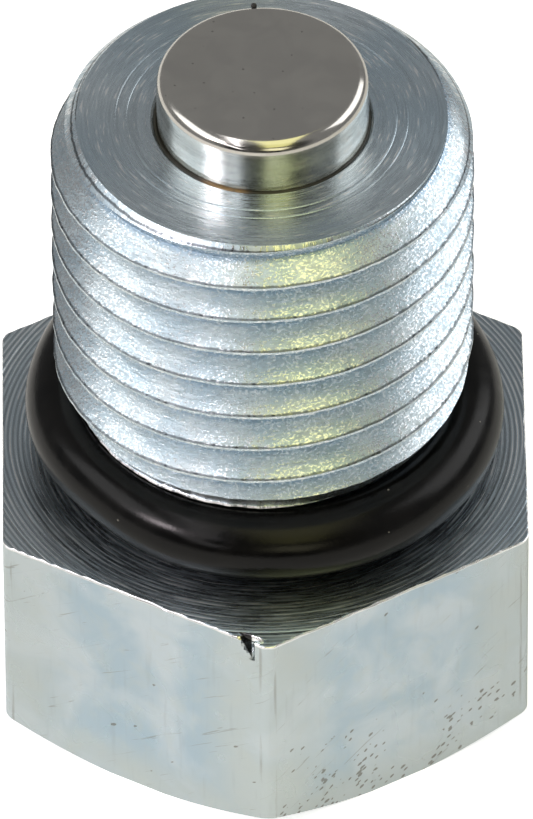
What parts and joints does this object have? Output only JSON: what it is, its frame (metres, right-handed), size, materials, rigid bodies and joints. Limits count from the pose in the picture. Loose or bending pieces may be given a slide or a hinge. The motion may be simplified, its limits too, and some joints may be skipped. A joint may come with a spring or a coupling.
{
  "type": "oil drain plug",
  "caption": "Hex-head magnetic oil drain plug: turned steel body with a fine metric thread, a relief neck holding an o-ring, and a bar magnet let into the nose.",
  "frame": {"origin": "centre of the hexagon head's outer face", "axes": "+Z along the plug from the head to the magnet in the nose, -Y through a corner of the hexagon, +X square to a flat"},
  "size_m": [0.015, 0.0172, 0.0217],
  "materials": {
    "zinc_steel": "turned and milled steel with bright clear zinc plating",
    "nickel": "nickel-plated neodymium magnet",
    "nitrile": "satin black nitrile rubber"
  },
  "bodies": {
    "root": {"plug_body": "zinc_steel", "magnet": "nickel", "o_ring": "nitrile"}
  },
  "joints": []
}
